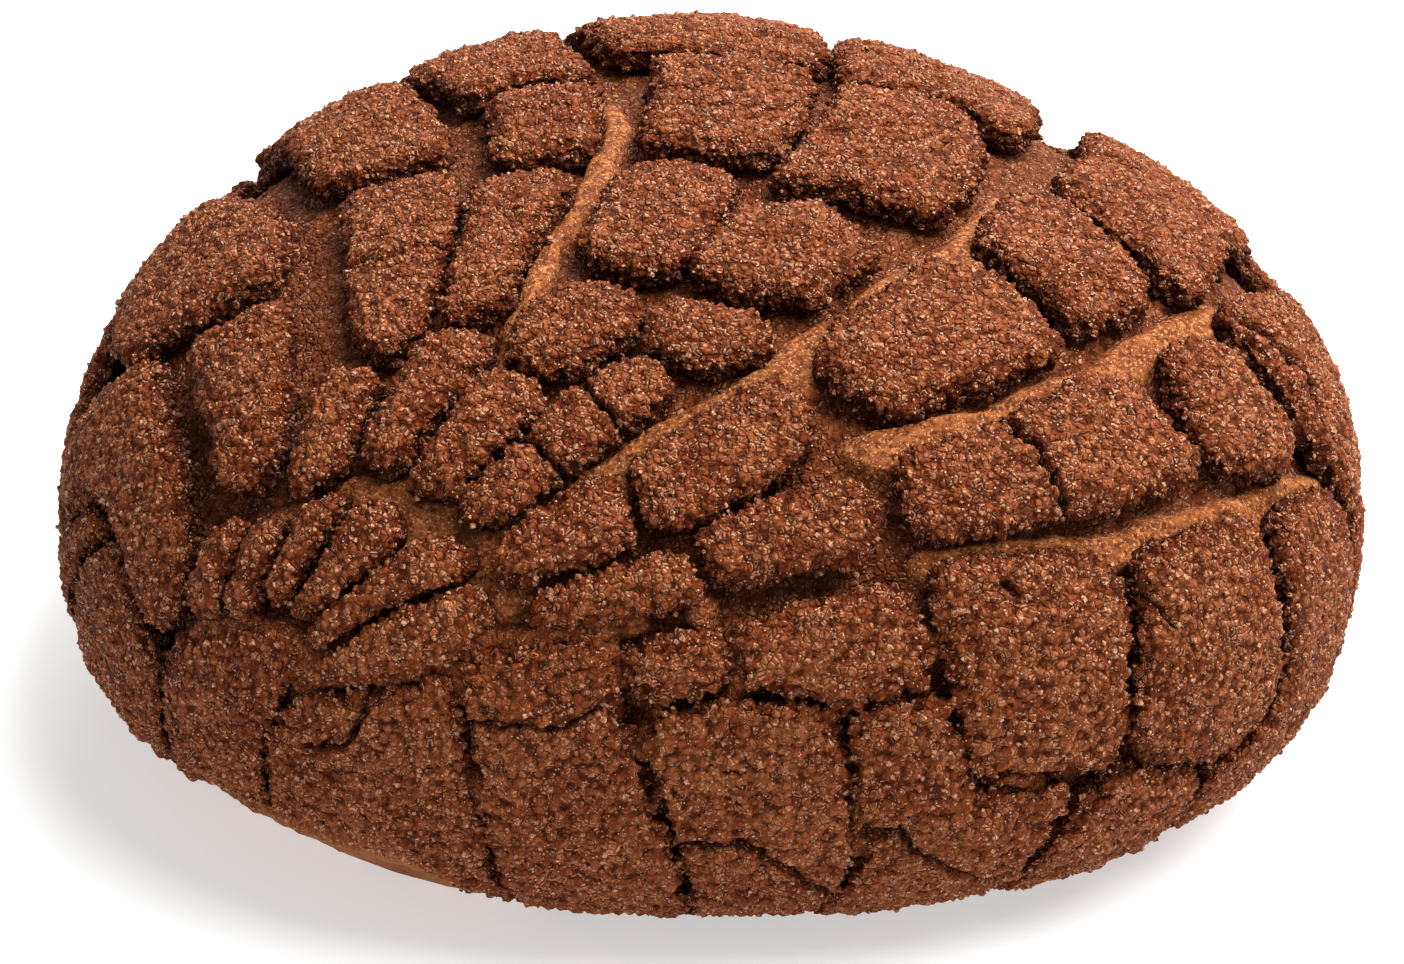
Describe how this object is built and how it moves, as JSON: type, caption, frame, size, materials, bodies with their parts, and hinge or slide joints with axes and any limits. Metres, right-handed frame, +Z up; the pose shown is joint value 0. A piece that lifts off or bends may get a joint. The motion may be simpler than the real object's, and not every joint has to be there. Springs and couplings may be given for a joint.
{
  "type": "sweet bread roll",
  "caption": "Round, low sweet bun with a shell-patterned chocolate topping, parted into tiles that fan out from a hub near one edge.",
  "frame": {"origin": "middle of the bounding box's footprint, on the plane the bun rests on", "axes": "+Z up out of the flat base; +X to the bun's right along its longest extent; -Y to the front, the side where the fan's hub lies (front left)"},
  "size_m": [0.1158, 0.105, 0.0523],
  "materials": {
    "crust": "matte",
    "topping": "matte"
  },
  "bodies": {
    "root": {"bun": "crust", "topping_tile_a1": "topping", "topping_tile_a2": "topping", "topping_tile_a3": "topping", "topping_tile_b1": "topping", "topping_tile_b2": "topping", "topping_tile_c1": "topping", "topping_tile_c2": "topping", "topping_tile_c3": "topping", "topping_tile_d1": "topping", "topping_tile_d2": "topping", "topping_tile_d3": "topping", "topping_tile_d4": "topping", "topping_tile_e1": "topping", "topping_tile_e2": "topping", "topping_tile_e3": "topping", "topping_tile_e4": "topping", "topping_tile_e5": "topping", "topping_tile_f1": "topping", "topping_tile_f2": "topping", "topping_tile_f3": "topping", "topping_tile_f4": "topping", "topping_tile_f5": "topping", "topping_tile_g1": "topping", "topping_tile_g2": "topping", "topping_tile_g3": "topping", "topping_tile_g4": "topping", "topping_tile_g5": "topping", "topping_tile_h1": "topping", "topping_tile_h2": "topping", "topping_tile_h3": "topping", "topping_tile_h4": "topping", "topping_tile_h5": "topping", "topping_tile_i1": "topping", "topping_tile_i2": "topping", "topping_tile_i3": "topping", "topping_tile_i4": "topping", "topping_tile_i5": "topping", "topping_tile_i6": "topping", "topping_tile_j1": "topping", "topping_tile_j2": "topping", "topping_tile_j3": "topping", "topping_tile_k1": "topping", "topping_tile_k2": "topping", "topping_tile_k3": "topping", "topping_tile_k4": "topping", "topping_tile_k5": "topping", "topping_tile_k6": "topping", "topping_tile_k7": "topping", "topping_tile_k8": "topping", "topping_rim_1": "topping", "topping_rim_2": "topping", "topping_rim_3": "topping", "topping_rim_4": "topping", "topping_rim_5": "topping", "topping_rim_6": "topping", "topping_rim_7": "topping", "topping_rim_8": "topping", "topping_rim_9": "topping"}
  },
  "joints": []
}
